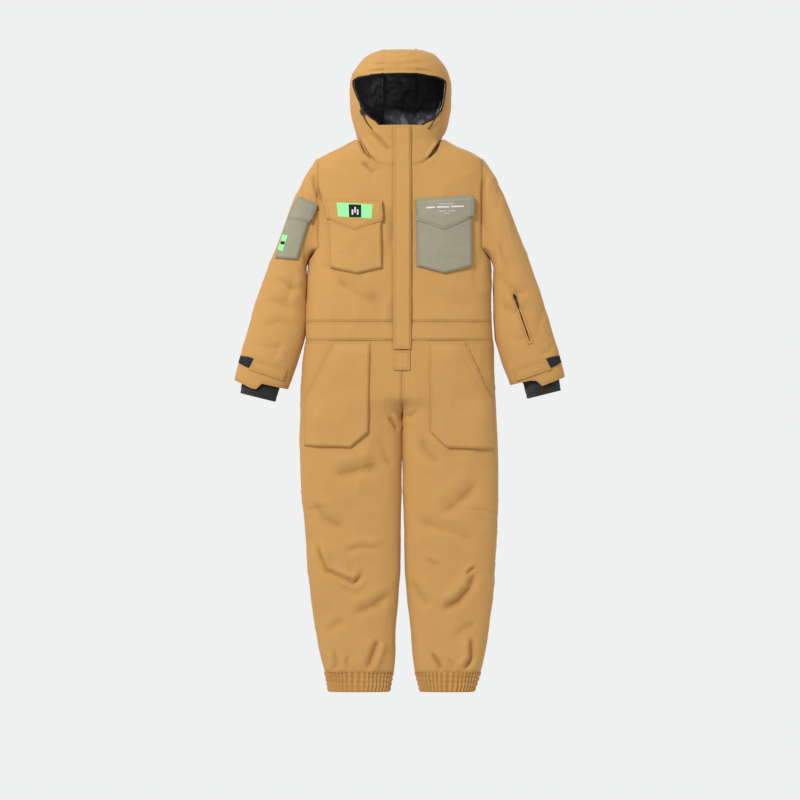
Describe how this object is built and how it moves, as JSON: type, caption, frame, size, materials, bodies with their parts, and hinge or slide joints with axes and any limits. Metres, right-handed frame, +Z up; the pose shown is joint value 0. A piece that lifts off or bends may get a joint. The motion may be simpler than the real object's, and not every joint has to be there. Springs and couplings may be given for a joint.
{
  "type": "hooded one-piece snow suit",
  "caption": "Insulated hooded one-piece suit, upright, with zipped front and storm flap, patch pockets, hook-and-loop cuffs, elastic ankles and fold-back hood.",
  "frame": {"origin": "centre of the hanging loop's hole, inside the back of the collar", "axes": "+Z up the body towards the hood, +Y towards the back, -Y the zipped front, +X the wearer's left"},
  "size_m": [0.9534, 0.2416, 1.843],
  "materials": {
    "shell_fabric": "matt woven nylon, insulated",
    "contrast_fabric": "matt woven nylon",
    "lining_fabric": "slightly glossy woven lining",
    "knit_gaiter": "ribbed knit",
    "hook_tape": "hook-and-loop tape",
    "label_green": "woven label",
    "badge_black": "woven label",
    "cord_black": "braided cord",
    "black_plastic": "moulded",
    "zip_tape": "woven tape",
    "zip_metal": "painted",
    "loop_tape": "woven tape"
  },
  "bodies": {
    "suit": {"bodice_front_right": "shell_fabric", "bodice_front_left": "shell_fabric", "bodice_back": "shell_fabric", "back_yoke": "shell_fabric", "waistband_front_right": "shell_fabric", "waistband_front_left": "shell_fabric", "waistband_back": "shell_fabric", "collar_front": "shell_fabric", "collar_back": "shell_fabric", "trouser_front_right": "shell_fabric", "trouser_front_left": "shell_fabric", "trouser_back_right": "shell_fabric", "trouser_back_left": "shell_fabric", "zip_tapes": "zip_tape", "zip_teeth": "black_plastic", "placket_hook_patches": "hook_tape", "fly_patch": "shell_fabric", "chest_pocket_right": "shell_fabric", "chest_pocket_left": "contrast_fabric", "hand_pocket_right": "shell_fabric", "hand_pocket_left": "shell_fabric", "hang_loop": "loop_tape"},
    "hood": {"hood_centre": "shell_fabric", "hood_side_right": "shell_fabric", "hood_side_left": "shell_fabric", "hood_lining": "lining_fabric", "hood_brim": "shell_fabric", "drawcord_right": "cord_black", "drawcord_left": "cord_black"},
    "cord_lock_right": {"cord_lock_right": "black_plastic"},
    "cord_lock_left": {"cord_lock_left": "black_plastic"},
    "placket": {"placket": "shell_fabric", "placket_loop_patches": "hook_tape"},
    "chest_flap_right": {"chest_flap_right": "shell_fabric", "chest_label": "label_green", "chest_badge": "badge_black"},
    "chest_flap_left": {"chest_flap_left": "contrast_fabric"},
    "upper_arm_right": {"upper_sleeve_right": "shell_fabric", "sleeve_pocket": "contrast_fabric", "sleeve_label": "label_green"},
    "upper_arm_left": {"upper_sleeve_left": "shell_fabric"},
    "sleeve_pocket_flap": {"sleeve_pocket_flap": "contrast_fabric"},
    "forearm_right": {"forearm_sleeve_right": "shell_fabric", "wrist_gaiter_right": "knit_gaiter"},
    "forearm_left": {"forearm_sleeve_left": "shell_fabric", "wrist_gaiter_left": "knit_gaiter", "sleeve_zip_welt": "shell_fabric", "sleeve_zip_teeth": "black_plastic"},
    "cuff_strap_right": {"cuff_tab_right": "shell_fabric", "cuff_tab_end_right": "hook_tape"},
    "cuff_strap_left": {"cuff_tab_left": "shell_fabric", "cuff_tab_end_left": "hook_tape"},
    "sleeve_zip_slider": {"sleeve_zip_slider": "zip_metal"},
    "zip_slider": {"zip_slider": "zip_metal"},
    "lower_leg_right": {"lower_leg_front_right": "shell_fabric", "lower_leg_back_right": "shell_fabric", "ankle_hem_right": "shell_fabric"},
    "lower_leg_left": {"lower_leg_front_left": "shell_fabric", "lower_leg_back_left": "shell_fabric", "ankle_hem_left": "shell_fabric"}
  },
  "joints": [
    {"name": "hood_fold", "type": "hinge", "parent": "suit", "child": "hood", "pos_m": [0, 0.022, -0.0063], "axis": [1, 0, 0], "range_deg": [-100, 0]},
    {"name": "placket_open", "type": "hinge", "parent": "suit", "child": "placket", "pos_m": [0.032, -0.1512, -0.2985], "axis": [0, 0, 1], "range_deg": [0, 100]},
    {"name": "front_zip", "type": "slide", "parent": "suit", "child": "zip_slider", "axis": [0, 0, -1], "range_m": [0, 0.555]},
    {"name": "shoulder_right", "type": "hinge", "parent": "suit", "child": "upper_arm_right", "pos_m": [-0.23825, -0.058, -0.067], "axis": [0, 1, 0], "range_deg": [0, 60]},
    {"name": "elbow_right", "type": "hinge", "parent": "upper_arm_right", "child": "forearm_right", "pos_m": [-0.33075, -0.11, -0.4235], "axis": [-0.9433, 0, 0.332], "range_deg": [0, 90], "stiffness_Nm_per_rad": 0.5, "springref_deg": -17.19},
    {"name": "knee_right", "type": "hinge", "parent": "suit", "child": "lower_leg_right", "pos_m": [-0.137, 0.002, -1.146], "axis": [1, 0, 0], "range_deg": [0, 90], "stiffness_Nm_per_rad": 1, "springref_deg": -17.19},
    {"name": "cuff_strap_right", "type": "hinge", "parent": "forearm_right", "child": "cuff_strap_right", "pos_m": [-0.3355, -0.097, -0.69], "axis": [0.2441, -0.0569, 0.9681], "range_deg": [0, 100]},
    {"name": "cord_lock_right", "type": "slide", "parent": "hood", "child": "cord_lock_right", "axis": [0.3161, -0.0226, -0.9484], "range_m": [0, 0.018]},
    {"name": "shoulder_left", "type": "hinge", "parent": "suit", "child": "upper_arm_left", "pos_m": [0.23825, -0.058, -0.067], "axis": [0, -1, 0], "range_deg": [0, 60]},
    {"name": "elbow_left", "type": "hinge", "parent": "upper_arm_left", "child": "forearm_left", "pos_m": [0.33075, -0.11, -0.4235], "axis": [-0.9433, 0, -0.332], "range_deg": [0, 90], "stiffness_Nm_per_rad": 0.5, "springref_deg": -17.19},
    {"name": "knee_left", "type": "hinge", "parent": "suit", "child": "lower_leg_left", "pos_m": [0.143, 0.002, -1.146], "axis": [1, 0, 0], "range_deg": [0, 90], "stiffness_Nm_per_rad": 1, "springref_deg": -17.19},
    {"name": "cuff_strap_left", "type": "hinge", "parent": "forearm_left", "child": "cuff_strap_left", "pos_m": [0.3355, -0.097, -0.69], "axis": [0.2441, 0.0569, -0.9681], "range_deg": [0, 100]},
    {"name": "cord_lock_left", "type": "slide", "parent": "hood", "child": "cord_lock_left", "axis": [-0.3161, -0.0226, -0.9484], "range_m": [0, 0.018]},
    {"name": "chest_flap_right", "type": "hinge", "parent": "suit", "child": "chest_flap_right", "pos_m": [-0.13, -0.1492, -0.191], "axis": [-0.9902, 0.1392, 0.0124], "range_deg": [0, 115]},
    {"name": "chest_flap_left", "type": "hinge", "parent": "suit", "child": "chest_flap_left", "pos_m": [0.1245, -0.1501, -0.1815], "axis": [-0.9891, -0.1278, -0.0737], "range_deg": [0, 115]},
    {"name": "sleeve_pocket_flap", "type": "hinge", "parent": "upper_arm_right", "child": "sleeve_pocket_flap", "pos_m": [-0.271, -0.1145, -0.1885], "axis": [-0.8439, 0.3492, 0.4074], "range_deg": [0, 90]},
    {"name": "sleeve_zip", "type": "slide", "parent": "forearm_left", "child": "sleeve_zip_slider", "axis": [0.3239, 0.0259, -0.9457], "range_m": [0, 0.1]}
  ]
}
